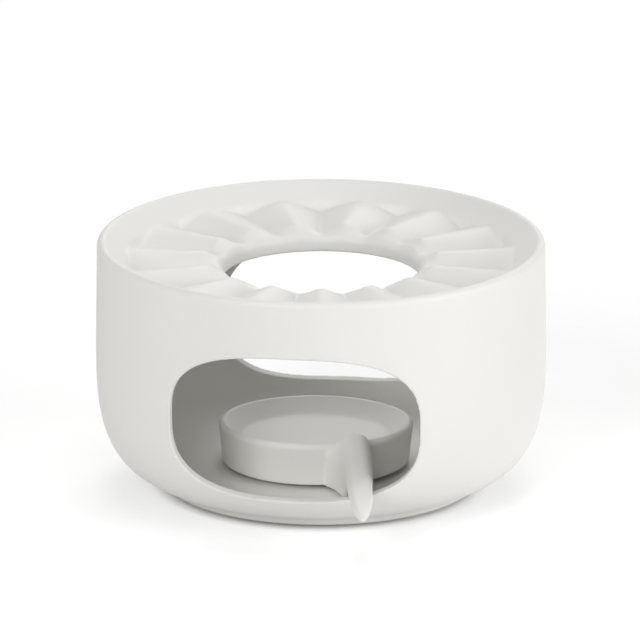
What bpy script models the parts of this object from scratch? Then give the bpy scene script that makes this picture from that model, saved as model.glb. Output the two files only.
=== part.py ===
"""A ceramic teapot warmer: a round open-sided body with a pleated seat, and a loose dish with a handle.

Run it with blender --background --python part.py, or from the text editor. Metres, +Z up, the front opening
faces -Y. Everything is placed from the body's own axis, which an empty holds a little behind the origin, so
that the origin lies on the table under the middle of the whole outline, handle included.
"""

import math

import bmesh
import bpy
from mathutils import Vector

# Body, outside
BODY_RADIUS = 0.0650
BODY_HEIGHT = 0.0729
WALL = 0.0036
STRAIGHT_SIDE = 0.0284
RIM_TAPER = 0.0004
BELLY_CENTRE = 0.0330
BELLY_BOTTOM = 0.0029
BELLY_POWER = 3.3
FOOT_RADIUS = 0.0454
FOOT_BATTER = 0.0006
FOOT_WIDTH = 0.0055
FOOT_EDGE = 0.0005
FOOT_RECESS = 0.0015

# Body, inside
FLOOR_TOP = 0.0056
FLOOR_CREASE = 0.0005
CEILING_FILLET = 0.0030

# Pleated seat for the teapot
RIM_WIDTH = 0.0036
RECESS_WALL_RUN = 0.0051
SEAT_DEPTH = 0.0046
PLEAT_COUNT = 15
PLEAT_RISE = 0.0031
PLEAT_FLANK = 0.25
PLEAT_END = 0.0009
PLEAT_TURN = math.radians(-82.0)
CREST_LAND = 0.0011
PLATE_WALL = 0.0043
HOLE_RADIUS = 0.0283
HOLE_EDGE = 0.0005
LIP_RADIUS = 0.0026
LIP_WAVE = 0.0014
LIP_BLEND = 0.0004

# Side openings
FRONT_WIDTH = 0.0719
FRONT_SILL = 0.0125
BACK_WIDTH = 0.0688
BACK_SHIFT_X = -0.0015
BACK_SILL = 0.0135
LINTEL_DROP = 0.0049
LINTEL_POWER = 2.7
SILL_POWER = 3.0

# Candle dish
SEAT_GAP = 0.0003
DISH_SHIFT_X = -0.0016
DISH_SHIFT_Y = 0.0006
DISH_BATTER = 0.0011
DISH_SHOULDER = 0.0015
DISH_LIP_ROUND = 0.0009
DISH_EDGE = 0.0006
RIM_SLOPE = 0.037
WELL_RADIUS = 0.0213
WELL_DEPTH = 0.0048
WELL_FLARE = 0.0053
WELL_FILLET = 0.0020
DISH_FLOOR = 0.0042
BASE_RECESS = 0.0036
BASE_RADIUS = 0.0215
BASE_FILLET = 0.0010

# Dish handle: a tongue that leaves the dish's wall, crosses the sill and tapers to its tip
HANDLE_ROOT_SIDE = 0.0134
ROOT_SPREAD = 0.0018
ROOT_SPREAD_RUN = 0.60
HANDLE_ROOT_INSET = 0.0011
HANDLE_TIP_SIDE = 0.0226
HANDLE_OVERHANG = 0.0150
HANDLE_BOW = 0.0014
HANDLE_WIDTH = 0.0070
HANDLE_THICKNESS = 0.0036
HANDLE_TOP_POWER = 2.9
ROOT_BOTTOM_POWER = 9.0
TIP_BOTTOM_POWER = 3.0
HANDLE_CREST = 0.0024
HANDLE_CREST_ROUND = 0.0024
HANDLE_TUCK = 0.0010
HANDLE_HEEL = 0.0080
HANDLE_HEEL_LIFT = 0.0004
HANDLE_CLEARANCE = 0.0006
HANDLE_TAPER = 0.0215
HANDLE_TIP_WIDTH = 0.0016
HANDLE_TIP_THICKNESS = 0.0012
HANDLE_TIP_DROP = 0.0044
FLARE = 0.0052
FLARE_RUN = 0.0170
FLARE_SHAPE = 1.6
FLARE_TOP = 6

# Mesh fineness
BELLY_STEPS = 12
DISH_STEPS = 60
OUTLINE_STEPS = 56
HANDLE_SIDES = 18
HANDLE_SECTIONS = 18
MERGE = 0.00001
SHARP_ANGLE = math.radians(35.0)

CLAY = (0.83, 0.83, 0.81, 1.0)
DISH_CLAY = (0.80, 0.80, 0.78, 1.0)
CLAY_ROUGHNESS = 0.6

# Heights and radii that follow from the driving sizes
SHOULDER_HEIGHT = BODY_HEIGHT - STRAIGHT_SIDE
BELLY_HALF_WIDTH = BODY_RADIUS - BELLY_CENTRE
CREST_Z = BODY_HEIGHT - SEAT_DEPTH
VALLEY_Z = CREST_Z - PLEAT_RISE
PLATE_BOTTOM = VALLEY_Z - PLATE_WALL
RECESS_TOP_RADIUS = BODY_RADIUS - RIM_WIDTH
RECESS_RADIUS = RECESS_TOP_RADIUS - RECESS_WALL_RUN
PLEAT_RADIUS = RECESS_RADIUS - PLEAT_END
LIP_CENTRE = HOLE_RADIUS + LIP_RADIUS
LIP_Z = VALLEY_Z + LIP_WAVE / 2 - LIP_RADIUS
OPENING_TOP = PLATE_BOTTOM - LINTEL_DROP
INNER_HALF_WIDTH = BELLY_HALF_WIDTH - WALL
INNER_HALF_HEIGHT = SHOULDER_HEIGHT - FLOOR_TOP + FLOOR_CREASE
OUTER_HALF_HEIGHT = SHOULDER_HEIGHT - BELLY_BOTTOM
DISH_LIP_RADIUS = WELL_RADIUS + WELL_FLARE
DISH_RADIUS = DISH_LIP_RADIUS + DISH_SHOULDER
DISH_HEIGHT = BASE_RECESS + DISH_FLOOR + WELL_DEPTH
DISH_BOTTOM = FLOOR_TOP + SEAT_GAP
HANDLE_REACH = BODY_RADIUS + HANDLE_OVERHANG


def tangent_angle(r, z, centre_r, centre_z, radius):
    """Where on a round edge, in degrees, a straight wall from a point inside and below meets it smoothly."""
    run, rise = centre_r - r, centre_z - z
    return math.degrees(math.atan2(rise, run) + math.asin(radius / math.hypot(run, rise))) + 90.0


def arc(centre_r, centre_z, radius, start, end, count):
    """Points on a round stretch of a profile, from start to end in degrees, both included."""
    points = []
    for i in range(count + 1):
        angle = math.radians(start + (end - start) * i / count)
        points.append((centre_r + radius * math.cos(angle), centre_z + radius * math.sin(angle)))
    return points


def belly(half_width, half_height, last_angle=math.pi / 2):
    """The rounded lower corner of the body as part of a superellipse, from the shoulder downwards."""
    points = []
    for i in range(BELLY_STEPS + 1):
        angle = last_angle * i / BELLY_STEPS
        run = max(math.cos(angle), 0.0) ** (2 / BELLY_POWER)
        drop = math.sin(angle) ** (2 / BELLY_POWER)
        points.append((BELLY_CENTRE + half_width * run, SHOULDER_HEIGHT - half_height * drop))
    return points


def belly_radius_at(height, half_width, half_height):
    """Radius of that same curve at a height below the shoulder."""
    share = min(max((SHOULDER_HEIGHT - height) / half_height, 0.0), 1.0)
    return BELLY_CENTRE + half_width * (1 - share ** BELLY_POWER) ** (1 / BELLY_POWER)


def sill_height_at(x):
    """Height of the front opening's lower edge at a distance x from the body's middle plane."""
    half_height = (OPENING_TOP - FRONT_SILL) / 2
    share = min(abs(x) / (FRONT_WIDTH / 2), 1.0)
    return FRONT_SILL + half_height * (1 - (1 - share ** SILL_POWER) ** (1 / SILL_POWER))


def superellipse(angle, power):
    """A point on the superellipse of half-width and half-height 1."""
    across = math.copysign(abs(math.cos(angle)) ** (2 / power), math.cos(angle))
    up = math.copysign(abs(math.sin(angle)) ** (2 / power), math.sin(angle))
    return across, up


def add_object(name, mesh, collection, colour=None):
    """Links a mesh as a named object, with its own material if it has a colour."""
    obj = bpy.data.objects.new(name, mesh)
    collection.objects.link(obj)
    if colour is not None:
        material = bpy.data.materials.new(name + "_clay")
        material.use_nodes = True
        shader = material.node_tree.nodes["Principled BSDF"]
        shader.inputs["Base Color"].default_value = colour
        shader.inputs["Roughness"].default_value = CLAY_ROUGHNESS
        shader.inputs["Metallic"].default_value = 0.0
        obj.data.materials.append(material)
    return obj


def turned_mesh(name, profile, steps, collection):
    """Turns an open profile, which starts and ends on the axis, into a closed mesh with a Screw modifier."""
    mesh = bpy.data.meshes.new(name + "_profile")
    mesh.from_pydata([(r, 0.0, z) for r, z in profile], [(i, i + 1) for i in range(len(profile) - 1)], [])
    guide = add_object(name + "_profile", mesh, collection)
    screw = guide.modifiers.new("Turn", "SCREW")
    screw.axis = "Z"
    screw.steps = steps
    screw.render_steps = steps
    screw.use_merge_vertices = True
    screw.merge_threshold = MERGE
    depsgraph = bpy.context.evaluated_depsgraph_get()
    turned = bpy.data.meshes.new_from_object(guide.evaluated_get(depsgraph))
    turned.name = name
    bpy.data.objects.remove(guide)
    bpy.data.meshes.remove(mesh)
    return turned


def hide_as_cutter(obj):
    obj.hide_render = True
    obj.display_type = "WIRE"


def body_profile():
    """Radius and height around the body's section, each with how far the pleats lift it there."""
    points = [(0.0, FLOOR_TOP, 0.0)]
    drop_share = (SHOULDER_HEIGHT - FLOOR_TOP) / INNER_HALF_HEIGHT
    floor_share = (1 - drop_share ** BELLY_POWER) ** (1 / BELLY_POWER)
    floor_angle = math.acos(floor_share ** (BELLY_POWER / 2))
    inner = belly(INNER_HALF_WIDTH, INNER_HALF_HEIGHT, floor_angle)
    points += [(r, z, 0.0) for r, z in reversed(inner)]
    ceiling_radius = BODY_RADIUS - WALL - CEILING_FILLET
    ceiling = arc(ceiling_radius, PLATE_BOTTOM - CEILING_FILLET, CEILING_FILLET, 0, 90, 3)
    points += [(r, z, 0.0) for r, z in ceiling]

    points.append((HOLE_RADIUS + HOLE_EDGE, PLATE_BOTTOM, 0.0))
    points.append((HOLE_RADIUS, PLATE_BOTTOM + HOLE_EDGE, 0.0))
    points.append((HOLE_RADIUS, LIP_Z, 0.0))
    lip_wave = LIP_WAVE / 2
    for share, (r, z) in zip((0.5, 1.0), arc(LIP_CENTRE, LIP_Z, LIP_RADIUS, 135, 90, 1)):
        points.append((r, z, lip_wave * share))

    middle = (CREST_Z + VALLEY_Z) / 2
    lift = PLEAT_RISE / 2
    pleat_start = LIP_CENTRE + LIP_RADIUS
    points.append((pleat_start, middle - LIP_BLEND / 2, lift - LIP_BLEND / 2))
    points.append(((pleat_start + PLEAT_RADIUS) / 2, middle, lift))
    points.append((PLEAT_RADIUS, middle, lift))
    points.append((RECESS_RADIUS, CREST_Z, 0.0))

    top_radius = BODY_RADIUS - RIM_TAPER
    rim_round = (top_radius - RECESS_TOP_RADIUS) / 2
    rim_z = BODY_HEIGHT - rim_round
    rim_start = tangent_angle(RECESS_RADIUS, CREST_Z, RECESS_TOP_RADIUS + rim_round, rim_z, rim_round)
    rim = arc(RECESS_TOP_RADIUS + rim_round, rim_z, rim_round, rim_start, 0, 6)
    points += [(r, z, 0.0) for r, z in rim]

    foot_share = max(FOOT_RADIUS + FOOT_BATTER - BELLY_CENTRE, 0.0) / BELLY_HALF_WIDTH
    last_angle = math.acos(foot_share ** (BELLY_POWER / 2))
    outer = belly(BELLY_HALF_WIDTH, OUTER_HALF_HEIGHT, last_angle)
    points += [(r, z, 0.0) for r, z in outer]
    foot_inside = FOOT_RADIUS - FOOT_WIDTH
    points.append((FOOT_RADIUS, FOOT_EDGE, 0.0))
    points.append((FOOT_RADIUS - FOOT_EDGE, 0.0, 0.0))
    points.append((foot_inside + FOOT_EDGE, 0.0, 0.0))
    points.append((foot_inside, FOOT_EDGE, 0.0))
    points.append((foot_inside - FOOT_RECESS, FOOT_RECESS, 0.0))
    points.append((0.0, FOOT_RECESS, 0.0))
    return points


def pleat_columns():
    """The mesh columns of one pleat as an angle and a height from 1 on the crest to -1 in the valley."""
    pitch = 2 * math.pi / PLEAT_COUNT
    half_land = CREST_LAND / 2 / PLEAT_RADIUS
    flank = PLEAT_FLANK
    bottom = (pitch / 2, -1.0)
    return ((-half_land, 1.0), (half_land, 1.0), (pitch / 4, flank), bottom, (pitch * 3 / 4, flank))


def fold_pleats(mesh, profile, columns, steps):
    """Draws two columns together into each crest's narrow land, and lifts and lowers the seat's rings."""
    lifts = {(round(r / MERGE), round(z / MERGE)): lift for r, z, lift in profile if lift > 0.0}
    pitch = 2 * math.pi / PLEAT_COUNT
    for vertex in mesh.vertices:
        radius = math.hypot(vertex.co.x, vertex.co.y)
        if radius < MERGE:
            continue
        column = round(math.atan2(vertex.co.y, vertex.co.x) / (2 * math.pi) * steps) % steps
        pleat, place = divmod(column, len(columns))
        column_angle, height = columns[place]
        angle = pleat * pitch + column_angle
        lift = lifts.get((round(radius / MERGE), round(vertex.co.z / MERGE)), 0.0)
        vertex.co = (radius * math.cos(angle), radius * math.sin(angle), vertex.co.z + lift * height)


def make_opening_cutter(name, side, shift, width, sill, cutters):
    """A prism of rounded outline from the body's middle out through its front (-1) or back (1) wall."""
    reach = side * (BODY_RADIUS + WALL)
    half_height = (OPENING_TOP - sill) / 2
    bm = bmesh.new()
    outline = []
    for i in range(OUTLINE_STEPS):
        angle = 2 * math.pi * i / OUTLINE_STEPS
        across, up = superellipse(angle, LINTEL_POWER if math.sin(angle) > 0.0 else SILL_POWER)
        outline.append(bm.verts.new((shift + width / 2 * across, 0.0, sill + half_height * (1 + up))))
    base = bm.faces.new(outline)
    swept = bmesh.ops.extrude_face_region(bm, geom=[base])
    moved = [item for item in swept["geom"] if isinstance(item, bmesh.types.BMVert)]
    bmesh.ops.translate(bm, verts=moved, vec=(0.0, reach, 0.0))
    bmesh.ops.recalc_face_normals(bm, faces=bm.faces)
    mesh = bpy.data.meshes.new(name)
    bm.to_mesh(mesh)
    bm.free()
    cutter = add_object(name, mesh, cutters)
    hide_as_cutter(cutter)
    return cutter


def make_body(parts, cutters):
    """The body is turned, its seat folded into pleats, and the two openings cut through its side."""
    profile = body_profile()
    columns = pleat_columns()
    steps = PLEAT_COUNT * len(columns)
    mesh = turned_mesh("warmer_body", [(r, z) for r, z, lift in profile], steps, parts)
    fold_pleats(mesh, profile, columns, steps)
    body = add_object("warmer_body", mesh, parts, CLAY)
    body.rotation_euler = (0.0, 0.0, PLEAT_TURN)
    front = make_opening_cutter("front_cutter", -1, 0.0, FRONT_WIDTH, FRONT_SILL, cutters)
    back = make_opening_cutter("back_cutter", 1, BACK_SHIFT_X, BACK_WIDTH, BACK_SILL, cutters)
    for cutter in (front, back):
        opening = body.modifiers.new(cutter.name, "BOOLEAN")
        opening.operation = "DIFFERENCE"
        opening.solver = "EXACT"
        opening.object = cutter
    return body


def dish_profile():
    """Radius and height around the dish's section, measured from its own foot."""
    well_z = BASE_RECESS + DISH_FLOOR
    points = [(0.0, well_z)]
    fillet_radius = WELL_RADIUS - WELL_FILLET * math.tan(math.radians(22.5))
    points += arc(fillet_radius, well_z + WELL_FILLET, WELL_FILLET, 270, 315, 2)
    points += arc(DISH_LIP_RADIUS, DISH_HEIGHT - DISH_LIP_ROUND, DISH_LIP_ROUND, 135, 90, 2)
    points += arc(DISH_LIP_RADIUS, DISH_HEIGHT - DISH_SHOULDER, DISH_SHOULDER, 90, 0, 4)[1:]
    foot_radius = DISH_RADIUS - DISH_BATTER
    points.append((foot_radius, DISH_EDGE))
    points.append((foot_radius - DISH_EDGE, 0.0))
    points.append((BASE_RADIUS + DISH_EDGE, 0.0))
    points.append((BASE_RADIUS, DISH_EDGE))
    points.append((BASE_RADIUS - BASE_FILLET, BASE_RECESS))
    points.append((0.0, BASE_RECESS))
    return points


def slope_rim(mesh):
    """Lets the rim rise towards the front, while the well's floor and the foot stay level."""
    well_z = BASE_RECESS + DISH_FLOOR
    for vertex in mesh.vertices:
        share = max(vertex.co.z - well_z, 0.0) / WELL_DEPTH
        vertex.co.z -= RIM_SLOPE * vertex.co.y * share


def handle_curve(share):
    """Middle of the handle in plan, from the dish's own axis: one bowed line from the rim to the tip."""
    root_radius = DISH_LIP_RADIUS - HANDLE_ROOT_INSET
    root = Vector((HANDLE_ROOT_SIDE, -math.sqrt(root_radius ** 2 - HANDLE_ROOT_SIDE ** 2)))
    tip = Vector((HANDLE_TIP_SIDE - DISH_SHIFT_X, -HANDLE_REACH - DISH_SHIFT_Y))
    along = (tip - root).normalized()
    bend = (root + tip) / 2 + Vector((-along.y, along.x)) * HANDLE_BOW
    keep = 1 - share
    return root * keep ** 2 + bend * (2 * keep * share) + tip * share ** 2


def handle_underside(reach, x):
    """Height above the dish's foot: from just over the floor up to a clearance above the sill."""
    over_sill = sill_height_at(x) + HANDLE_CLEARANCE - DISH_BOTTOM
    start = DISH_RADIUS + HANDLE_HEEL
    finish = belly_radius_at(FRONT_SILL, INNER_HALF_WIDTH, INNER_HALF_HEIGHT)
    climb = min(max((reach - start) / (finish - start), 0.0), 1.0)
    return HANDLE_HEEL_LIFT + (over_sill - HANDLE_HEEL_LIFT) * climb


def dish_wall_at(z):
    """Radius of the dish's leaning wall at a height above its foot."""
    return DISH_RADIUS - DISH_BATTER * max(1 - z / (DISH_HEIGHT - DISH_SHOULDER), 0.0)


def flare_at(beyond_wall):
    """How far the handle's left side spreads, so that it leaves the dish's wall in a hollow curve."""
    if beyond_wall < 0.0:
        return FLARE * max(1 + beyond_wall / (DISH_RADIUS - DISH_LIP_RADIUS), 0.0)
    short = max(1 - beyond_wall / FLARE_RUN, 0.0)
    return FLARE * (1 - (1 - short ** FLARE_SHAPE) ** (1 / FLARE_SHAPE))


def handle_section(share, length):
    """Middle, half width and half height of the handle at a share of its length, how far out that is from
    the dish's axis, and how much wider the right side is.
    """
    place = handle_curve(share)
    from_axis = place + Vector((DISH_SHIFT_X, DISH_SHIFT_Y))
    reach = from_axis.length
    rounding = max(1 - (1 - share) * length / HANDLE_TAPER, 0.0)
    taper = math.sqrt(1 - min(rounding, 1.0) ** 2)
    half_width = max(HANDLE_WIDTH * taper, HANDLE_TIP_WIDTH) / 2

    bottom = handle_underside(reach, from_axis.x + HANDLE_WIDTH / 3)
    crest = DISH_HEIGHT - RIM_SLOPE * handle_curve(0.0).y + HANDLE_CREST
    inner_radius = belly_radius_at(FRONT_SILL, INNER_HALF_WIDTH, INNER_HALF_HEIGHT)
    level = min(share * length / (inner_radius - DISH_LIP_RADIUS), 1.0)
    over_sill = handle_underside(inner_radius, from_axis.x + HANDLE_WIDTH / 3) + HANDLE_THICKNESS
    top = crest + (over_sill - crest) * level
    rise = math.sqrt(1 - max(1 - share * length / HANDLE_CREST_ROUND, 0.0) ** 2)
    top -= (HANDLE_CREST + HANDLE_TUCK) * (1 - rise)

    outer_radius = belly_radius_at(FRONT_SILL, BELLY_HALF_WIDTH, OUTER_HALF_HEIGHT)
    tip_radius = math.hypot(HANDLE_TIP_SIDE, HANDLE_REACH)
    past_sill = max(reach - outer_radius, 0.0) / (tip_radius - outer_radius)
    middle = (top + bottom) / 2 - HANDLE_TIP_DROP * past_sill ** 2
    half_height = max((top - bottom) * taper, HANDLE_TIP_THICKNESS) / 2

    way_out = place.dot((handle_curve(1.0) - handle_curve(0.0)).normalized())
    right = ROOT_SPREAD * (1 - min(share / ROOT_SPREAD_RUN, 1.0) ** 2)
    return place, middle, half_width, half_height, way_out, right


def make_handle_mesh():
    """A loft of rounded sections, square to the handle's curve and closer together at its ends."""
    length = (handle_curve(1.0) - handle_curve(0.0)).length
    bm = bmesh.new()
    rings = []
    for i in range(HANDLE_SECTIONS + 1):
        share = (1 - math.cos(math.pi * i / HANDLE_SECTIONS)) / 2
        place, middle, half_width, half_height, way_out, right = handle_section(share, length)
        step = 0.5 / HANDLE_SECTIONS
        ahead = (handle_curve(share + step) - handle_curve(share - step)).normalized()
        side = Vector((-ahead.y, ahead.x))
        bottom_power = ROOT_BOTTOM_POWER + (TIP_BOTTOM_POWER - ROOT_BOTTOM_POWER) * share
        ring = []
        for k in range(HANDLE_SIDES):
            power = HANDLE_TOP_POWER if k < HANDLE_SIDES / 2 else bottom_power
            across, up = superellipse(2 * math.pi * k / HANDLE_SIDES, power)
            z = middle + half_height * up
            left = flare_at(way_out - dish_wall_at(z)) * (1 - ((up + 1) / 2) ** FLARE_TOP)
            point = place + side * (half_width + (right if across > 0.0 else left)) * across
            ring.append(bm.verts.new((point.x, point.y, z)))
        rings.append(ring)
    for near, far in zip(rings, rings[1:]):
        for k in range(HANDLE_SIDES):
            following = (k + 1) % HANDLE_SIDES
            bm.faces.new((near[k], near[following], far[following], far[k]))
    bm.faces.new(rings[0])
    bm.faces.new(rings[-1])
    bmesh.ops.recalc_face_normals(bm, faces=bm.faces)
    mesh = bpy.data.meshes.new("handle_blank")
    bm.to_mesh(mesh)
    bm.free()
    return mesh


def make_dish(parts, cutters):
    """The dish is turned, and its handle joined to its wall and rim."""
    mesh = turned_mesh("candle_dish", dish_profile(), DISH_STEPS, parts)
    slope_rim(mesh)
    dish = add_object("candle_dish", mesh, parts, DISH_CLAY)
    dish.location = (DISH_SHIFT_X, DISH_SHIFT_Y, DISH_BOTTOM)
    handle = add_object("handle_blank", make_handle_mesh(), cutters)
    handle.location = dish.location
    hide_as_cutter(handle)
    join = dish.modifiers.new("Handle", "BOOLEAN")
    join.operation = "UNION"
    join.solver = "EXACT"
    join.object = handle
    return dish


def main():
    for obj in list(bpy.data.objects):
        bpy.data.objects.remove(obj)
    parts = bpy.data.collections.new("Teapot_Warmer")
    cutters = bpy.data.collections.new("Cutters")
    bpy.context.scene.collection.children.link(parts)
    bpy.context.scene.collection.children.link(cutters)

    body = make_body(parts, cutters)
    dish = make_dish(parts, cutters)
    for obj in (body, dish):
        obj.data.shade_smooth()
        obj.data.set_sharp_from_angle(angle=SHARP_ANGLE)

    axis = bpy.data.objects.new("body_axis", None)
    parts.objects.link(axis)
    axis.location = (0.0, (HANDLE_REACH - BODY_RADIUS) / 2, 0.0)
    for obj in list(parts.objects) + list(cutters.objects):
        if obj is not axis:
            obj.parent = axis


main()
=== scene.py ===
"""The teapot warmer as photographed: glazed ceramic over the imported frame, on a white table."""

import math

import bpy
from mathutils import Matrix, Vector


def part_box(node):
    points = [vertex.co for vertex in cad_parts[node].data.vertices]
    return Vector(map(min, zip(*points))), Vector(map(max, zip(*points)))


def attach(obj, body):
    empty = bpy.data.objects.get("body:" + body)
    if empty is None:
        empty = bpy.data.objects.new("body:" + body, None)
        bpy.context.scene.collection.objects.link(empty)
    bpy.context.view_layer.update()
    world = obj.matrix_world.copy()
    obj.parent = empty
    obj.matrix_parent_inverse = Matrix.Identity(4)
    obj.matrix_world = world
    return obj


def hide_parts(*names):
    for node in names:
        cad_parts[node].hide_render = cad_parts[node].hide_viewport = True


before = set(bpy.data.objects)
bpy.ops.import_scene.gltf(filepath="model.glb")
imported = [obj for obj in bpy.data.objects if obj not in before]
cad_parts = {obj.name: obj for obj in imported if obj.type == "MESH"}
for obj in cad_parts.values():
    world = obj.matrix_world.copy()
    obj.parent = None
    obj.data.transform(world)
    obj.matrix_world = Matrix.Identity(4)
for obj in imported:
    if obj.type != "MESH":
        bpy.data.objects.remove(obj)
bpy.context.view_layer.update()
body_low, body_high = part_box("warmer_body")
AXIS_Y = (body_low[1] + body_high[1]) / 2

# Body, in metres
BODY_RADIUS = 0.0650
BODY_HEIGHT = 0.0729
WALL = 0.0036
SHOULDER_HEIGHT = 0.0445
RIM_TAPER = 0.0004
BELLY_CENTRE = 0.0330
BELLY_BOTTOM = 0.0029
BELLY_POWER = 3.3
FOOT_RADIUS = 0.0454
FOOT_BATTER = 0.0006
FOOT_WIDTH = 0.0055
FOOT_EDGE = 0.0003
FOOT_STEP = 0.0032
FOOT_STEP_HEIGHT = 0.0009
FOOT_BLEND = 0.0030
FOOT_BLEND_END = 0.45
FOOT_RECESS = 0.0015
FLOOR_TOP = 0.0056
FLOOR_CREASE = 0.0005
CEILING_FILLET = 0.0030

# Pleated seat
RIM_WIDTH = 0.0036
RECESS_WALL_RUN = 0.0051
SEAT_DEPTH = 0.0046
PLEAT_COUNT = 15
PLEAT_RISE = 0.0033
PLEAT_SHAPE = 1.4
PLEAT_END = 0.0009
PLEAT_TURN = math.radians(-82.0)
CREST_LAND = 0.0011
PLATE_WALL = 0.0041
HOLE_RADIUS = 0.0283
HOLE_EDGE = 0.0003
LIP_RADIUS = 0.0026
LIP_TOP = 0.0661
LIP_WAVE = 0.0014

# Openings
OPENING_HALF_WIDTH = 0.03595
OPENING_BOTTOM = 0.0125
OPENING_TOP = 0.0560
BACK_HALF_WIDTH = 0.0344
BACK_SHIFT_X = -0.0015
BACK_BOTTOM = 0.0135
OPENING_POWER = 2.7
SILL_POWER = 3.0

# Candle dish
DISH_X = -0.0016
DISH_Y = AXIS_Y + 0.0006
DISH_BOTTOM = 0.0059
DISH_RADIUS = 0.0281
DISH_HEIGHT = 0.0126
DISH_BATTER = 0.0011
DISH_SHOULDER = 0.0015
LIP_CREST_RADIUS = DISH_RADIUS - DISH_SHOULDER
LIP_ROUND = 0.0009
RIM_SLOPE = 0.037
DISH_EDGE = 0.0002
DISH_STEP = 0.0036
DISH_STEP_HEIGHT = 0.0010
WELL_RADIUS = 0.0213
WELL_FLOOR = 0.0078
WELL_FILLET = 0.0020
WELL_LEAN = 45.0
BASE_RADIUS = 0.0215
BASE_EDGE = 0.0006
BASE_RECESS = 0.0036

# Handle
ROOT_SIDE = 0.0134
ROOT_SPREAD = 0.0018
ROOT_SPREAD_RUN = 0.60
ROOT_INSET = 0.0011
TIP_SIDE = 0.0231
TIP_REACH = 0.0800
HANDLE_BOW = 0.0009
HANDLE_WIDTH = 0.0070
HANDLE_THICKNESS = 0.0036
TOP_LEFT_POWER = 2.9
TOP_RIGHT_POWER = 3.4
TOP_TILT = -0.0002
ROOT_BOTTOM_POWER = 9.0
TIP_BOTTOM_POWER = 3.0
HANDLE_CREST = 0.0032
CREST_ROUND = 0.0024
CREST_TUCK = 0.0010
HANDLE_HEEL = 0.0095
HEEL_LIFT = 0.0004
SILL_CLEARANCE = 0.0006
TIP_TAPER = 0.0215
TIP_WIDTH = 0.0016
TIP_THICKNESS = 0.0012
TIP_DROP = 0.0038
FLARE = 0.0052
FLARE_RUN = 0.0170
FLARE_SHAPE = 1.6
FLARE_TOP = 6

# Fineness
BODY_COLUMNS = 24 * PLEAT_COUNT
DISH_COLUMNS = 240
CURVE_STEPS = 40
OPENING_SIDES = 6 * CURVE_STEPS
PLEAT_STEPS = 12
BLEND_STEPS = 12
CORNER_STEPS = 8
RIM_STEPS = 20
WELL_FILLET_STEPS = 6
LIP_STEPS = 5
SHOULDER_STEPS = 10
DIRECTION_STEP = 0.002
BODY_VOXEL = 0.00042
DISH_VOXEL = 0.0003
BODY_SOFTENING = 5
DISH_SOFTENING = 6
RELAX_FACTOR = 0.5

# Glaze
BODY_COLOUR = (0.83, 0.823, 0.793)
DISH_COLOUR = (0.85, 0.845, 0.817)
GLAZE_ROUGHNESS = 0.5
CLOUD_SCALE = 28.0
CLOUD_DETAIL = 3.0
CLOUD_DARK = 0.975
CLOUD_LIGHT = 1.015
RIPPLE_SCALE = 160.0
GRAIN_SCALE = 1500.0
FINE_DETAIL = 2.0
GRAIN_SHARE = 0.12
BUMP_STRENGTH = 0.18
BUMP_DISTANCE = 0.0003

# Table and light: each lamp has its azimuth and elevation in degrees, and its power in watts
TABLE_HALF = 3.0
TABLE_ALBEDO = 0.90
TABLE_FILL = 0.34
# Reach of the painted contact shade, which darkens the table's glow near the object
CONTACT_SHADE_REACH = 0.0035
WORLD_LIGHT = 0.25
LAMP_DISTANCE = 1.2
LAMP_SIZE = 0.6
SIDE_LAMP = (76.0, 12.0, 7.2)
FRONT_LAMP = (-22.0, 27.0, 6.1)
TOP_LAMP = (0.0, 89.0, 2.3)
BACK_LAMP = (180.0, 35.0, 3.0)

# Camera, fitted to the photograph: so far away that the view has next to no perspective
PHOTO_SIZE = 640
CAMERA_ELEVATION = math.radians(16.75)
CAMERA_TURN = math.radians(8.0)
CAMERA_DISTANCE = 60.0 * BODY_RADIUS
PIXELS_PER_RADIUS = 225.10
AIM_PIXEL_X = 321.11
AIM_PIXEL_Y = 363.05
AIM_HEIGHT = 0.55 * BODY_RADIUS
SENSOR_MM = 36.0
CLIP_END = 100.0

# Worked out from the sizes above
CREST_Z = BODY_HEIGHT - SEAT_DEPTH
PLATE_BOTTOM = CREST_Z - PLEAT_RISE - PLATE_WALL
RECESS_TOP_RADIUS = BODY_RADIUS - RIM_WIDTH
RECESS_RADIUS = RECESS_TOP_RADIUS - RECESS_WALL_RUN
PLEAT_RADIUS = RECESS_RADIUS - PLEAT_END
OUTER_HALF_WIDTH = BODY_RADIUS - BELLY_CENTRE
OUTER_HALF_HEIGHT = SHOULDER_HEIGHT - BELLY_BOTTOM
INNER_HALF_WIDTH = BODY_RADIUS - BELLY_CENTRE - WALL
INNER_HALF_HEIGHT = SHOULDER_HEIGHT - FLOOR_TOP + FLOOR_CREASE


def arc(centre_r, centre_z, radius, start, end, count):
    """Points on a round stretch of a profile, from start to end in degrees, both included."""
    points = []
    for i in range(count + 1):
        angle = math.radians(start + (end - start) * i / count)
        points.append((centre_r + radius * math.cos(angle), centre_z + radius * math.sin(angle)))
    return points


def tangent_angle(r, z, centre_r, centre_z, radius):
    """Where on a round edge, in degrees, a straight wall from inside and below meets it smoothly."""
    run, rise = centre_r - r, centre_z - z
    return math.degrees(math.atan2(rise, run) + math.asin(radius / math.hypot(run, rise))) + 90.0


def belly(half_width, half_height, last_angle=math.pi / 2):
    """The rounded lower corner of the body, from the shoulder downwards."""
    points = []
    for i in range(CURVE_STEPS + 1):
        angle = last_angle * i / CURVE_STEPS
        run = max(math.cos(angle), 0.0) ** (2 / BELLY_POWER)
        drop = math.sin(angle) ** (2 / BELLY_POWER)
        points.append((BELLY_CENTRE + half_width * run, SHOULDER_HEIGHT - half_height * drop))
    return points


def belly_radius_at(height, half_width, half_height):
    """Radius of the body's rounded lower corner at a height."""
    share = min(max((SHOULDER_HEIGHT - height) / half_height, 0.0), 1.0)
    return BELLY_CENTRE + half_width * (1 - share ** BELLY_POWER) ** (1 / BELLY_POWER)


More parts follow.
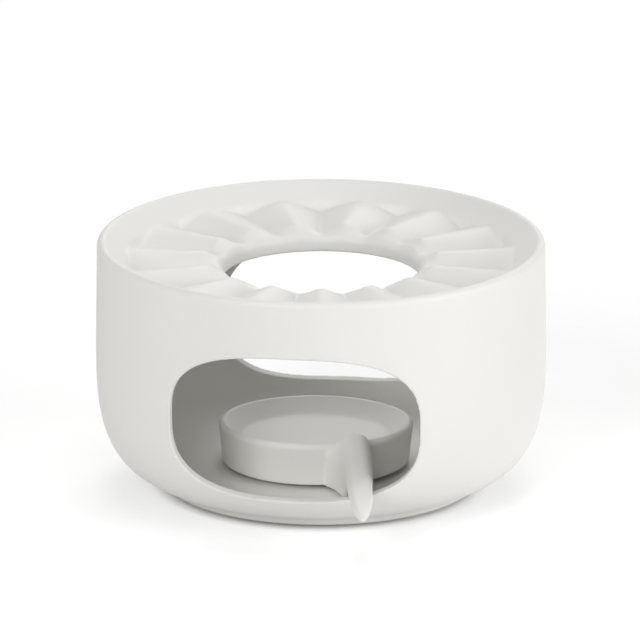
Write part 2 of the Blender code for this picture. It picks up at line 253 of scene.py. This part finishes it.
def superellipse(angle, power):
    """A point on the superellipse of half-width and half-height 1."""
    across = math.copysign(abs(math.cos(angle)) ** (2 / power), math.cos(angle))
    up = math.copysign(abs(math.sin(angle)) ** (2 / power), math.sin(angle))
    return across, up


def turned(name, profile, columns, lift_at=None):
    """A closed mesh turned from a profile of radius, height and lift that starts and ends on the axis."""
    ring = profile[1:-1]
    verts = [(0.0, 0.0, profile[0][1]), (0.0, 0.0, profile[-1][1])]
    for i in range(columns):
        angle = 2 * math.pi * i / columns
        height = lift_at(angle) if lift_at else 0.0
        for r, z, lift in ring:
            verts.append((r * math.cos(angle), r * math.sin(angle), z + lift * height))
    faces = []
    count = len(ring)
    for i in range(columns):
        a = 2 + i * count
        b = 2 + (i + 1) % columns * count
        faces.append((0, a, b))
        faces += [(a + k, a + k + 1, b + k + 1, b + k) for k in range(count - 1)]
        faces.append((a + count - 1, 1, b + count - 1))
    mesh = bpy.data.meshes.new(name)
    mesh.from_pydata(verts, [], faces)
    mesh.validate()
    return mesh


def loft(name, rings):
    """A closed mesh through rings of points, with flat ends."""
    sides = len(rings[0])
    verts = [point for ring in rings for point in ring]
    faces = []
    for i in range(len(rings) - 1):
        for k in range(sides):
            near, after = i * sides + k, i * sides + (k + 1) % sides
            faces.append((near, after, after + sides, near + sides))
    faces.append(tuple(reversed(range(sides))))
    faces.append(tuple(range(len(verts) - sides, len(verts))))
    mesh = bpy.data.meshes.new(name)
    mesh.from_pydata(verts, [], faces)
    return mesh


def add_object(name, data):
    """Puts a mesh, lamp or camera into the scene."""
    obj = bpy.data.objects.new(name, data)
    bpy.context.scene.collection.objects.link(obj)
    return obj


def combined(obj, tool, operation):
    """Joins a tool to the object, or cuts it out, and removes the tool."""
    modifier = obj.modifiers.new("Combine", "BOOLEAN")
    modifier.operation = operation
    modifier.solver = "EXACT"
    modifier.object = tool
    apply_modifiers(obj)
    bpy.data.objects.remove(tool)


def apply_modifiers(obj):
    depsgraph = bpy.context.evaluated_depsgraph_get()
    mesh = bpy.data.meshes.new_from_object(obj.evaluated_get(depsgraph))
    obj.modifiers.clear()
    obj.data = mesh


def soften(obj, voxel, rounds):
    """Clay has no sharp edges: a fine even mesh, relaxed until edges and joins are rounded."""
    remesh = obj.modifiers.new("Fine", "REMESH")
    remesh.mode = "VOXEL"
    remesh.voxel_size = voxel
    relax = obj.modifiers.new("Relax", "SMOOTH")
    relax.factor = RELAX_FACTOR
    relax.iterations = rounds
    apply_modifiers(obj)
    obj.data.shade_smooth()


def pleat_height(angle):
    """1 on a crest, -1 in a valley: the crest is broad and the valley a narrow fold."""
    pitch = 2 * math.pi / PLEAT_COUNT
    half_land = CREST_LAND / 2 / PLEAT_RADIUS
    from_crest = abs((angle + pitch / 2) % pitch - pitch / 2)
    slope = min(max(from_crest - half_land, 0.0) / (pitch / 2 - half_land), 1.0)
    return 1 - 2 * slope ** PLEAT_SHAPE


def inside_profile():
    """The chamber: from the middle of the floor up the wall and along the ceiling to the hole."""
    points = [(0.0, FLOOR_TOP)]
    points += [(r, max(z, FLOOR_TOP)) for r, z in reversed(belly(INNER_HALF_WIDTH, INNER_HALF_HEIGHT))]
    ceiling_radius = BODY_RADIUS - WALL - CEILING_FILLET
    points += arc(ceiling_radius, PLATE_BOTTOM - CEILING_FILLET, CEILING_FILLET, 0, 90, CORNER_STEPS)
    points += [(HOLE_RADIUS + HOLE_EDGE, PLATE_BOTTOM), (HOLE_RADIUS, PLATE_BOTTOM + HOLE_EDGE)]
    return [(r, z, 0.0) for r, z in points]


def seat_profile():
    """Over the wavy lip and across the pleats, which follow pleat_height, to the recess's wall."""
    lip_centre = HOLE_RADIUS + LIP_RADIUS
    lip_z = LIP_TOP - LIP_RADIUS
    points = [(HOLE_RADIUS, lip_z, 0.0)]
    over = arc(lip_centre, lip_z, LIP_RADIUS, 180, 90, CORNER_STEPS)[1:]
    points += [(r, z, LIP_WAVE / 2 * (i + 1) / len(over)) for i, (r, z) in enumerate(over)]
    middle = CREST_Z - PLEAT_RISE / 2
    pleat_start = lip_centre + LIP_RADIUS
    for i in range(PLEAT_STEPS + 1):
        share = i / PLEAT_STEPS
        points.append((pleat_start + (PLEAT_RADIUS - pleat_start) * share, middle, PLEAT_RISE / 2))
    points.append((RECESS_RADIUS, CREST_Z, 0.0))
    return points


def outside_profile():
    """From the recess's wall over the rim, down the belly and under the foot to the axis."""
    rim_round = (BODY_RADIUS - RIM_TAPER - RECESS_TOP_RADIUS) / 2
    rim_r = RECESS_TOP_RADIUS + rim_round
    rim_z = BODY_HEIGHT - rim_round
    rim_start = tangent_angle(RECESS_RADIUS, CREST_Z, rim_r, rim_z, rim_round)
    points = arc(rim_r, rim_z, rim_round, rim_start, 0, RIM_STEPS)

    blend_radius = FOOT_RADIUS + FOOT_BATTER + FOOT_BLEND
    blend_share = (blend_radius - BELLY_CENTRE) / OUTER_HALF_WIDTH
    last_angle = math.acos(blend_share ** (BELLY_POWER / 2))
    points += belly(OUTER_HALF_WIDTH, OUTER_HALF_HEIGHT, last_angle)
    blend_z = points[-1][1]
    points += foot_blend(blend_radius, blend_z, points[-2][0] - blend_radius, points[-2][1] - blend_z)

    foot_inside = FOOT_RADIUS - FOOT_WIDTH
    points.append((FOOT_RADIUS, FOOT_STEP_HEIGHT + FOOT_EDGE))
    points.append((FOOT_RADIUS - FOOT_EDGE, FOOT_STEP_HEIGHT))
    points.append((FOOT_RADIUS - FOOT_STEP, FOOT_STEP_HEIGHT))
    points.append((FOOT_RADIUS - FOOT_STEP, 0.0))
    points.append((foot_inside + FOOT_EDGE, 0.0))
    points.append((foot_inside - FOOT_RECESS, FOOT_RECESS))
    points.append((0.0, FOOT_RECESS))
    return [(r, z, 0.0) for r, z in points]


def foot_blend(r, z, run, rise):
    """A hollow curve that leaves the belly along its slope and meets the foot upright."""
    corner_r = FOOT_RADIUS + FOOT_BATTER
    corner_z = z - (r - corner_r) * rise / run
    end_r = FOOT_RADIUS + FOOT_BATTER / 2
    end_z = corner_z * FOOT_BLEND_END
    points = []
    for i in range(1, BLEND_STEPS + 1):
        share = i / BLEND_STEPS
        keep = 1 - share
        across = r * keep ** 2 + corner_r * 2 * keep * share + end_r * share ** 2
        height = z * keep ** 2 + corner_z * 2 * keep * share + end_z * share ** 2
        points.append((across, height))
    return points


def opening_tool(side, shift, half_width, bottom):
    """A prism of rounded outline from the middle out through the wall, to the front (-1) or back (1)."""
    half_height = (OPENING_TOP - bottom) / 2
    rings = []
    for y in sorted((AXIS_Y, AXIS_Y + side * 2 * BODY_RADIUS)):
        ring = []
        for i in range(OPENING_SIDES):
            angle = -2 * math.pi * i / OPENING_SIDES
            across, up = superellipse(angle, SILL_POWER if math.sin(angle) < 0.0 else OPENING_POWER)
            ring.append((shift + half_width * across, y, bottom + half_height * (1 + up)))
        rings.append(ring)
    return add_object("opening_tool", loft("opening_tool", rings))


def make_body():
    profile = inside_profile() + seat_profile() + outside_profile()
    body = add_object("warmer_body_glazed", turned("body_fine", profile, BODY_COLUMNS, pleat_height))
    turn = Matrix.Rotation(PLEAT_TURN, 4, "Z")
    body.data.transform(Matrix.Translation((0.0, AXIS_Y, 0.0)) @ turn)
    combined(body, opening_tool(-1, 0.0, OPENING_HALF_WIDTH, OPENING_BOTTOM), "DIFFERENCE")
    combined(body, opening_tool(1, BACK_SHIFT_X, BACK_HALF_WIDTH, BACK_BOTTOM), "DIFFERENCE")
    soften(body, BODY_VOXEL, BODY_SOFTENING)
    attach(body, "body")
    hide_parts("warmer_body")
    return body


def dish_profile():
    """The dish's section, from its own foot: well, rounded rim, leaning wall and recessed base."""
    fillet_radius = WELL_RADIUS - WELL_FILLET * math.tan(math.radians(WELL_LEAN / 2))
    fillet_z = WELL_FLOOR + WELL_FILLET
    lip_z = DISH_HEIGHT - LIP_ROUND
    shoulder_z = DISH_HEIGHT - DISH_SHOULDER
    points = [(0.0, WELL_FLOOR)]
    points += arc(fillet_radius, fillet_z, WELL_FILLET, 270, 270 + WELL_LEAN, WELL_FILLET_STEPS)
    points += arc(LIP_CREST_RADIUS, lip_z, LIP_ROUND, 90 + WELL_LEAN, 90, LIP_STEPS)
    points += arc(LIP_CREST_RADIUS, shoulder_z, DISH_SHOULDER, 90, 0, SHOULDER_STEPS)[1:]
    foot = DISH_RADIUS - DISH_BATTER
    inner_foot = foot - DISH_STEP
    points += [(foot, DISH_STEP_HEIGHT + DISH_EDGE), (foot - DISH_EDGE, DISH_STEP_HEIGHT)]
    points += [(inner_foot, DISH_STEP_HEIGHT), (inner_foot, 0.0)]
    points += [(BASE_RADIUS + BASE_EDGE, 0.0), (BASE_RADIUS, BASE_EDGE)]
    points += [(BASE_RADIUS - BASE_EDGE, BASE_RECESS), (0.0, BASE_RECESS)]
    return [(r, z, 0.0) for r, z in points]


def slope_rim(mesh):
    """Lets the rim rise towards the front, while the well's floor and the foot stay level."""
    for vertex in mesh.vertices:
        share = max(vertex.co.z - WELL_FLOOR, 0.0) / (DISH_HEIGHT - WELL_FLOOR)
        vertex.co.z -= RIM_SLOPE * vertex.co.y * share


def handle_curve(share):
    """Middle of the handle in plan, from the dish's own axis."""
    root_radius = LIP_CREST_RADIUS - ROOT_INSET
    root = Vector((ROOT_SIDE, -math.sqrt(root_radius ** 2 - ROOT_SIDE ** 2)))
    tip = Vector((TIP_SIDE - DISH_X, AXIS_Y - DISH_Y - TIP_REACH))
    along = (tip - root).normalized()
    bend = (root + tip) / 2 + Vector((-along.y, along.x)) * HANDLE_BOW
    keep = 1 - share
    return root * keep ** 2 + bend * (2 * keep * share) + tip * share ** 2


def handle_underside(reach, x):
    """Height over the dish's foot: just over the floor, then climbing to clear the sill."""
    half_height = (OPENING_TOP - OPENING_BOTTOM) / 2
    across = min(abs(x) / OPENING_HALF_WIDTH, 1.0)
    sill = OPENING_BOTTOM + half_height * (1 - (1 - across ** SILL_POWER) ** (1 / SILL_POWER))
    over_sill = sill + SILL_CLEARANCE - DISH_BOTTOM
    start = DISH_RADIUS + HANDLE_HEEL
    finish = belly_radius_at(OPENING_BOTTOM, INNER_HALF_WIDTH, INNER_HALF_HEIGHT)
    climb = min(max((reach - start) / (finish - start), 0.0), 1.0)
    return HEEL_LIFT + (over_sill - HEEL_LIFT) * climb


def handle_top(travel, x):
    """Height over the dish's foot: from the well up to a crest, then falling gently to the sill."""
    crest = DISH_HEIGHT - RIM_SLOPE * handle_curve(0.0).y + HANDLE_CREST
    sill_radius = belly_radius_at(OPENING_BOTTOM, INNER_HALF_WIDTH, INNER_HALF_HEIGHT)
    level = min(travel / (sill_radius - LIP_CREST_RADIUS), 1.0)
    over_sill = handle_underside(sill_radius, x) + HANDLE_THICKNESS
    rise = math.sqrt(1 - max(1 - travel / CREST_ROUND, 0.0) ** 2)
    return crest + (over_sill - crest) * level - (HANDLE_CREST + CREST_TUCK) * (1 - rise)


def handle_droop(reach):
    """How far the handle hangs down beyond the sill, at a distance from the body's axis."""
    outer_radius = belly_radius_at(OPENING_BOTTOM, OUTER_HALF_WIDTH, OUTER_HALF_HEIGHT)
    tip_radius = math.hypot(TIP_SIDE, TIP_REACH)
    past_sill = max(reach - outer_radius, 0.0) / (tip_radius - outer_radius)
    return TIP_DROP * past_sill ** 2


def dish_wall_at(z):
    """Radius of the dish's leaning wall at a height above its foot."""
    return DISH_RADIUS - DISH_BATTER * max(1 - z / (DISH_HEIGHT - DISH_SHOULDER), 0.0)


def flare_at(beyond_wall):
    """How far the handle's left side spreads, so that it leaves the dish's wall in a hollow curve."""
    if beyond_wall < 0.0:
        return FLARE * max(1 + beyond_wall / (DISH_RADIUS - LIP_CREST_RADIUS), 0.0)
    short = max(1 - beyond_wall / FLARE_RUN, 0.0)
    return FLARE * (1 - (1 - short ** FLARE_SHAPE) ** (1 / FLARE_SHAPE))


def handle_ring(share, length, sides):
    """One rounded section of the handle, square to its curve."""
    place = handle_curve(share)
    from_axis = place + Vector((DISH_X, DISH_Y - AXIS_Y))
    reach = from_axis.length
    side_x = from_axis.x + HANDLE_WIDTH / 3
    bottom = handle_underside(reach, side_x)
    top = handle_top(share * length, side_x)
    rounding = max(1 - (1 - share) * length / TIP_TAPER, 0.0)
    taper = math.sqrt(1 - min(rounding, 1.0) ** 2)
    middle = (top + bottom) / 2 - handle_droop(reach)
    half_height = max((top - bottom) * taper, TIP_THICKNESS) / 2
    half_width = max(HANDLE_WIDTH * taper, TIP_WIDTH) / 2

    way_out = place.dot((handle_curve(1.0) - handle_curve(0.0)).normalized())
    root_spread = ROOT_SPREAD * (1 - min(share / ROOT_SPREAD_RUN, 1.0) ** 2)
    bottom_power = ROOT_BOTTOM_POWER + (TIP_BOTTOM_POWER - ROOT_BOTTOM_POWER) * share
    ahead = (handle_curve(share + DIRECTION_STEP) - handle_curve(share - DIRECTION_STEP)).normalized()
    side = Vector((-ahead.y, ahead.x))
    ring = []
    for k in range(sides):
        top_power = TOP_RIGHT_POWER if k < sides / 4 else TOP_LEFT_POWER
        across, up = superellipse(2 * math.pi * k / sides, top_power if k < sides / 2 else bottom_power)
        z = middle + half_height * up + TOP_TILT * taper * across * max(up, 0.0)
        flare = flare_at(way_out - dish_wall_at(z)) * (1 - ((up + 1) / 2) ** FLARE_TOP)
        point = place + side * (half_width + (root_spread if across > 0.0 else flare)) * across
        ring.append((point.x, point.y, z))
    return ring


def make_dish():
    dish = add_object("candle_dish_glazed", turned("dish_fine", dish_profile(), DISH_COLUMNS))
    slope_rim(dish.data)
    length = (handle_curve(1.0) - handle_curve(0.0)).length
    rings = []
    for i in range(CURVE_STEPS + 1):
        share = (1 - math.cos(math.pi * i / CURVE_STEPS)) / 2
        rings.append(handle_ring(share, length, CURVE_STEPS))
    combined(dish, add_object("handle_tool", loft("handle_tool", rings)), "UNION")
    dish.data.transform(Matrix.Translation((DISH_X, DISH_Y, DISH_BOTTOM)))
    soften(dish, DISH_VOXEL, DISH_SOFTENING)
    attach(dish, "dish")
    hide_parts("candle_dish")
    return dish


def add_math(nodes, operation):
    node = nodes.new("ShaderNodeMath")
    node.operation = operation
    return node


def add_noise(nodes, links, place, scale, detail):
    """A noise texture fixed to the object."""
    noise = nodes.new("ShaderNodeTexNoise")
    noise.inputs["Scale"].default_value = scale
    noise.inputs["Detail"].default_value = detail
    links.new(place.outputs["Object"], noise.inputs["Vector"])
    return noise


def seen_share(nodes, links):
    """A socket that is 1 for what is seen, also in a mirror or through glass, and 0 for bounced light."""
    path = nodes.new("ShaderNodeLightPath")
    seen = add_math(nodes, "MAXIMUM")
    also = add_math(nodes, "MAXIMUM")
    links.new(path.outputs["Is Camera Ray"], seen.inputs[0])
    links.new(path.outputs["Is Glossy Ray"], seen.inputs[1])
    links.new(seen.outputs["Value"], also.inputs[0])
    links.new(path.outputs["Is Transmission Ray"], also.inputs[1])
    return also.outputs["Value"]


def glaze(name, colour):
    """Matt white glaze: faint cloudy tone, a fine grain and a very shallow ripple."""
    material = bpy.data.materials.new(name)
    material.use_nodes = True
    nodes = material.node_tree.nodes
    links = material.node_tree.links
    shader = nodes["Principled BSDF"]
    shader.inputs["Roughness"].default_value = GLAZE_ROUGHNESS
    place = nodes.new("ShaderNodeTexCoord")

    cloud = add_noise(nodes, links, place, CLOUD_SCALE, CLOUD_DETAIL)
    tone = nodes.new("ShaderNodeMix")
    tone.data_type = "RGBA"
    tone.inputs["A"].default_value = (*[value * CLOUD_DARK for value in colour], 1.0)
    tone.inputs["B"].default_value = (*[min(value * CLOUD_LIGHT, 1.0) for value in colour], 1.0)
    links.new(cloud.outputs["Fac"], tone.inputs["Factor"])
    links.new(tone.outputs["Result"], shader.inputs["Base Color"])

    ripple = add_noise(nodes, links, place, RIPPLE_SCALE, FINE_DETAIL)
    grain = add_noise(nodes, links, place, GRAIN_SCALE, FINE_DETAIL)
    both = add_math(nodes, "MULTIPLY_ADD")
    both.inputs[1].default_value = GRAIN_SHARE
    links.new(grain.outputs["Fac"], both.inputs[0])
    links.new(ripple.outputs["Fac"], both.inputs[2])
    bump = nodes.new("ShaderNodeBump")
    bump.inputs["Strength"].default_value = BUMP_STRENGTH
    bump.inputs["Distance"].default_value = BUMP_DISTANCE
    links.new(both.outputs["Value"], bump.inputs["Height"])
    links.new(bump.outputs["Normal"], shader.inputs["Normal"])
    return material


def coat(obj, material):
    obj.data.materials.clear()
    obj.data.materials.append(material)


def table_white():
    """Diffuse white plus a glow that is seen directly or reflected, darkened near contact as painted
    contact shade.
    """
    material = bpy.data.materials.new("table_white")
    material.use_nodes = True
    nodes = material.node_tree.nodes
    links = material.node_tree.links
    nodes.remove(nodes["Principled BSDF"])
    diffuse = nodes.new("ShaderNodeBsdfDiffuse")
    diffuse.inputs["Color"].default_value = (TABLE_ALBEDO, TABLE_ALBEDO, TABLE_ALBEDO, 1.0)
    fill = add_math(nodes, "MULTIPLY")
    fill.inputs[1].default_value = TABLE_FILL
    links.new(seen_share(nodes, links), fill.inputs[0])
    # Painted contact shadow: ambient occlusion dims the glow where the object comes close to the table
    painted_contact_shade = nodes.new("ShaderNodeAmbientOcclusion")
    painted_contact_shade.inputs["Distance"].default_value = CONTACT_SHADE_REACH
    shaded_fill = add_math(nodes, "MULTIPLY")
    links.new(fill.outputs["Value"], shaded_fill.inputs[0])
    links.new(painted_contact_shade.outputs["AO"], shaded_fill.inputs[1])
    glow = nodes.new("ShaderNodeEmission")
    links.new(shaded_fill.outputs["Value"], glow.inputs["Strength"])
    total = nodes.new("ShaderNodeAddShader")
    links.new(diffuse.outputs["BSDF"], total.inputs[0])
    links.new(glow.outputs["Emission"], total.inputs[1])
    links.new(total.outputs["Shader"], nodes["Material Output"].inputs["Surface"])
    return material


def make_table():
    """A table that shows white to the camera wherever nothing shades it."""
    mesh = bpy.data.meshes.new("table")
    low, high = -TABLE_HALF, TABLE_HALF
    mesh.from_pydata([(low, low, 0), (high, low, 0), (high, high, 0), (low, high, 0)], [], [(0, 1, 2, 3)])
    table = add_object("table", mesh)
    table.data.materials.append(table_white())


def make_world():
    """An even white surround: plain light on the object, white behind it."""
    world = bpy.data.worlds.new("surround")
    world.use_nodes = True
    nodes = world.node_tree.nodes
    links = world.node_tree.links
    background = nodes["Background"]
    background.inputs["Color"].default_value = (1.0, 1.0, 1.0, 1.0)
    level = nodes.new("ShaderNodeMapRange")
    level.inputs["To Min"].default_value = WORLD_LIGHT
    level.inputs["To Max"].default_value = 1.0
    links.new(seen_share(nodes, links), level.inputs["Value"])
    links.new(level.outputs["Result"], background.inputs["Strength"])
    bpy.context.scene.world = world


def add_softbox(name, azimuth, elevation, power):
    """A square lamp that looks at the object. Azimuth 0 is in front, and positive to the right."""
    lamp = bpy.data.lights.new(name, "AREA")
    lamp.shape = "SQUARE"
    lamp.size = LAMP_SIZE
    lamp.energy = power
    obj = add_object(name, lamp)
    turn, rise = math.radians(azimuth), math.radians(elevation)
    away = Vector((math.sin(turn) * math.cos(rise), -math.cos(turn) * math.cos(rise), math.sin(rise)))
    obj.location = Vector((0.0, AXIS_Y, BODY_HEIGHT / 2)) + away * LAMP_DISTANCE
    obj.rotation_euler = away.to_track_quat("Z", "Y").to_euler()


def make_camera():
    """Seen from the photograph's angle, with the body's axis where the photograph has it."""
    cos_e, sin_e = math.cos(CAMERA_ELEVATION), math.sin(CAMERA_ELEVATION)
    ahead = Vector((-math.sin(CAMERA_TURN) * cos_e, math.cos(CAMERA_TURN) * cos_e, -sin_e))
    right = Vector((math.cos(CAMERA_TURN), math.sin(CAMERA_TURN), 0.0))
    up = right.cross(ahead)
    focal_pixels = PIXELS_PER_RADIUS * CAMERA_DISTANCE / BODY_RADIUS
    off_x = (AIM_PIXEL_X - PHOTO_SIZE / 2) / focal_pixels
    off_y = (PHOTO_SIZE / 2 - AIM_PIXEL_Y) / focal_pixels
    aim = Vector((0.0, AXIS_Y, AIM_HEIGHT))
    camera = bpy.data.cameras.new("photo_camera")
    camera.sensor_width = SENSOR_MM
    camera.lens = focal_pixels / PHOTO_SIZE * SENSOR_MM
    camera.clip_end = CLIP_END
    obj = add_object("photo_camera", camera)
    place = Matrix((right, up, -ahead)).transposed().to_4x4()
    place.translation = aim - CAMERA_DISTANCE * (ahead + right * off_x + up * off_y)
    obj.matrix_world = place
    bpy.context.scene.camera = obj


body = make_body()
dish = make_dish()
coat(body, glaze("body_glaze", BODY_COLOUR))
coat(dish, glaze("dish_glaze", DISH_COLOUR))
make_table()
make_world()
add_softbox("side", *SIDE_LAMP)
add_softbox("front", *FRONT_LAMP)
add_softbox("top", *TOP_LAMP)
add_softbox("back", *BACK_LAMP)
make_camera()
bpy.context.scene.view_settings.view_transform = "Standard"
